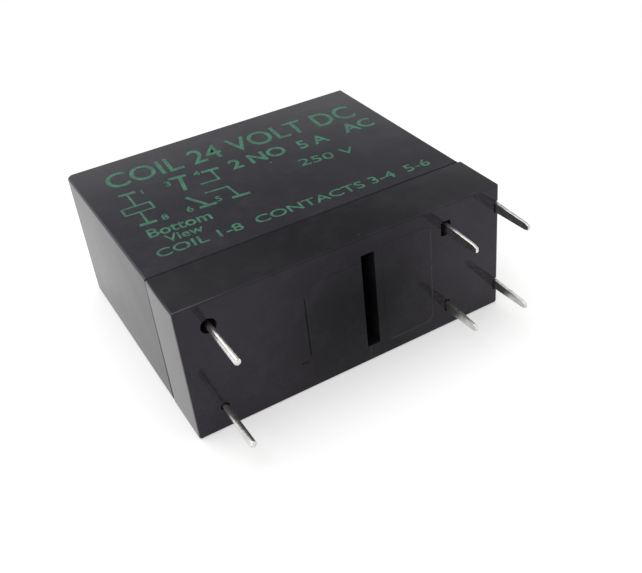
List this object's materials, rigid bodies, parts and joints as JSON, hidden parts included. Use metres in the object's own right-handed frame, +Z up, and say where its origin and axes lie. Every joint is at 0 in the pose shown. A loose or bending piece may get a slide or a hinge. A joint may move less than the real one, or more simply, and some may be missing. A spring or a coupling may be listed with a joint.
{
  "type": "signal relay",
  "caption": "Slim sealed board relay with a coil and two normally open contacts; blade and round pins, hinged armature, pusher card and spring blades inside.",
  "frame": {"origin": "centre of the broad face that it rests on, in the middle of its length and of its height with pins", "axes": "+Z up through the printed broad face, -Y the way the pins point, +X towards the contact end"},
  "size_m": [0.028, 0.0292, 0.0118],
  "materials": {
    "case_black": "satin moulded black",
    "base_black": "glossy moulded black",
    "bobbin_ivory": "moulded",
    "card_white": "moulded",
    "tape_amber": "polyester tape",
    "enamel_copper": "enamelled copper wire",
    "plated_iron": "plated soft iron",
    "tinned_brass": "tinned",
    "spring_bronze": "rolled spring bronze",
    "contact_silver": "silver alloy"
  },
  "bodies": {
    "case": {"cover": "case_black", "base": "base_black", "bobbin": "bobbin_ivory", "coil_winding": "enamel_copper", "coil_tape": "tape_amber", "lead_wire_a": "enamel_copper", "lead_wire_b": "enamel_copper", "core": "plated_iron", "yoke": "plated_iron", "return_spring": "spring_bronze", "spring_rivet": "tinned_brass", "coil_pin_a": "tinned_brass", "coil_pin_b": "tinned_brass", "moving_terminal_a": "tinned_brass", "moving_terminal_b": "tinned_brass", "fixed_terminal_a": "tinned_brass", "fixed_terminal_b": "tinned_brass", "fixed_contact_a": "contact_silver", "fixed_contact_b": "contact_silver"},
    "armature": {"armature": "plated_iron"},
    "card": {"card": "card_white"},
    "blade_a": {"moving_blade_a": "spring_bronze", "blade_rivet_a": "tinned_brass", "moving_contact_a": "contact_silver"},
    "blade_b": {"moving_blade_b": "spring_bronze", "blade_rivet_b": "tinned_brass", "moving_contact_b": "contact_silver"}
  },
  "joints": [
    {"name": "armature_pivot", "type": "hinge", "parent": "case", "child": "armature", "pos_m": [-0.00065, 0.0107, 0.0059], "axis": [0, 0, 1], "range_deg": [0, 4], "stiffness_Nm_per_rad": 0.02, "springref_deg": -2.86},
    {"name": "card_slide", "type": "slide", "parent": "case", "child": "card", "axis": [1, 0, 0], "range_m": [0, 0.000451]},
    {"name": "blade_a_flex", "type": "hinge", "parent": "case", "child": "blade_a", "pos_m": [0.00872, -0.00415, 0.00915], "axis": [0, 0, -1], "range_deg": [0, 2.94]},
    {"name": "blade_b_flex", "type": "hinge", "parent": "case", "child": "blade_b", "pos_m": [0.00872, -0.00415, 0.00265], "axis": [0, 0, -1], "range_deg": [0, 2.94]}
  ],
  "couplings": [
    {"joint": "card_slide", "follows": "armature_pivot", "m_per_rad": 0.00645},
    {"joint": "blade_a_flex", "follows": "armature_pivot", "ratio": 0.73296},
    {"joint": "blade_b_flex", "follows": "armature_pivot", "ratio": 0.73296}
  ]
}
